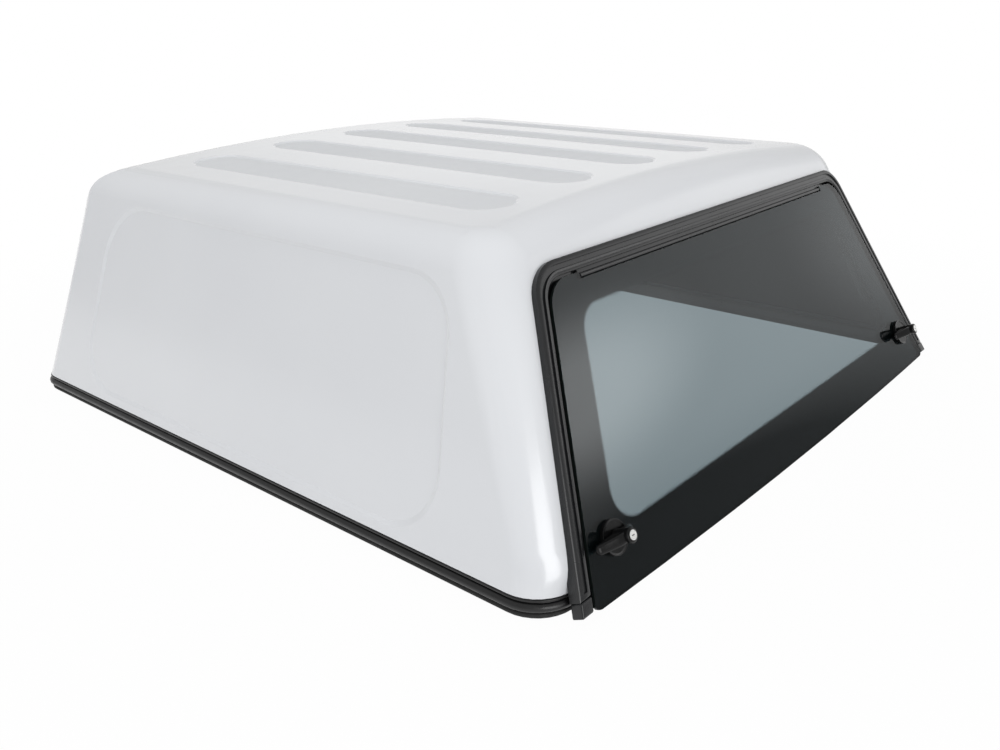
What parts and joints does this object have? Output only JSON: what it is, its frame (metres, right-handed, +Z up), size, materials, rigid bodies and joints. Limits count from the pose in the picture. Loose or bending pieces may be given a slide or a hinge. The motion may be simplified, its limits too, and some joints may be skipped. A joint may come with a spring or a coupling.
{
  "type": "pickup truck canopy",
  "caption": "White moulded canopy for a pickup truck's load tub, with a fluted roof, recessed sides, a black-framed lift-up glass rear door on gas struts and a rubber base seal.",
  "frame": {"origin": "bottom centre of the whole canopy, in the plane of the base seal's underside", "axes": "+Z up, +Y forwards to the cab, +X to the vehicle's right; the glass rear door faces -Y"},
  "size_m": [1.5542, 1.6076, 0.547],
  "materials": {
    "gelcoat": "high-gloss white gelcoat",
    "rubber": "satin black extruded rubber",
    "frame_black": "satin black powder coat on aluminium",
    "privacy_glass": "smoked tempered glass with a black printed border",
    "handle_black": "satin black moulded nylon",
    "chrome": "polished chrome",
    "zinc_steel": "bright zinc plate",
    "strut_black": "gloss black baked paint"
  },
  "bodies": {
    "canopy": {"shell": "gelcoat", "front_window_glass": "privacy_glass", "front_window_seal": "rubber", "base_trim": "rubber", "base_seal": "rubber", "rear_frame": "frame_black", "frame_foot_left": "frame_black", "frame_foot_right": "frame_black", "frame_seal": "rubber", "hinge_rail": "frame_black", "striker_left": "zinc_steel", "striker_right": "zinc_steel", "strut_frame_bracket_left": "zinc_steel", "strut_frame_bracket_right": "zinc_steel"},
    "rear_door": {"door_glass": "privacy_glass", "door_top_rail": "frame_black", "door_bottom_seal": "rubber", "handle_rose_left": "handle_black", "handle_rose_right": "handle_black", "strut_door_bracket_left": "zinc_steel", "strut_door_bracket_right": "zinc_steel"},
    "handle_left": {"handle_grip_left": "handle_black", "lock_barrel_left": "chrome", "latch_shaft_left": "zinc_steel", "latch_cam_left": "zinc_steel"},
    "handle_right": {"handle_grip_right": "handle_black", "lock_barrel_right": "chrome", "latch_shaft_right": "zinc_steel", "latch_cam_right": "zinc_steel"},
    "cylinder_left": {"strut_cylinder_left": "strut_black"},
    "rod_left": {"strut_rod_left": "zinc_steel"},
    "cylinder_right": {"strut_cylinder_right": "strut_black"},
    "rod_right": {"strut_rod_right": "zinc_steel"}
  },
  "joints": [
    {"name": "rear_door_hinge", "type": "hinge", "parent": "canopy", "child": "rear_door", "pos_m": [0, -0.58326, 0.43842], "axis": [-1, 0, 0], "range_deg": [0, 75]},
    {"name": "handle_turn_left", "type": "hinge", "parent": "rear_door", "child": "handle_left", "pos_m": [-0.61181, -0.76211, 0.08738], "axis": [0, -0.8973, 0.4415], "range_deg": [0, 90]},
    {"name": "handle_turn_right", "type": "hinge", "parent": "rear_door", "child": "handle_right", "pos_m": [0.61181, -0.76211, 0.08738], "axis": [0, 0.8973, -0.4415], "range_deg": [0, 90]},
    {"name": "strut_pivot_left", "type": "hinge", "parent": "canopy", "child": "cylinder_left", "pos_m": [-0.60956, -0.67755, 0.15277], "axis": [0.8798, -0.3888, -0.2733], "range_deg": [0, 24.5]},
    {"name": "strut_slide_left", "type": "slide", "parent": "cylinder_left", "child": "rod_left", "axis": [0.4003, 0.2961, 0.8672], "range_m": [0, 0.107]},
    {"name": "strut_pivot_right", "type": "hinge", "parent": "canopy", "child": "cylinder_right", "pos_m": [0.60956, -0.67755, 0.15277], "axis": [0.8798, 0.3888, 0.2733], "range_deg": [0, 24.5]},
    {"name": "strut_slide_right", "type": "slide", "parent": "cylinder_right", "child": "rod_right", "axis": [-0.4003, 0.2961, 0.8672], "range_m": [0, 0.107]}
  ],
  "couplings": [
    {"joint": "strut_pivot_left", "follows": "rear_door_hinge", "ratio": 0.32284},
    {"joint": "strut_slide_left", "follows": "rear_door_hinge", "m_per_rad": 0.080966},
    {"joint": "strut_pivot_right", "follows": "rear_door_hinge", "ratio": 0.32284},
    {"joint": "strut_slide_right", "follows": "rear_door_hinge", "m_per_rad": 0.080966}
  ]
}
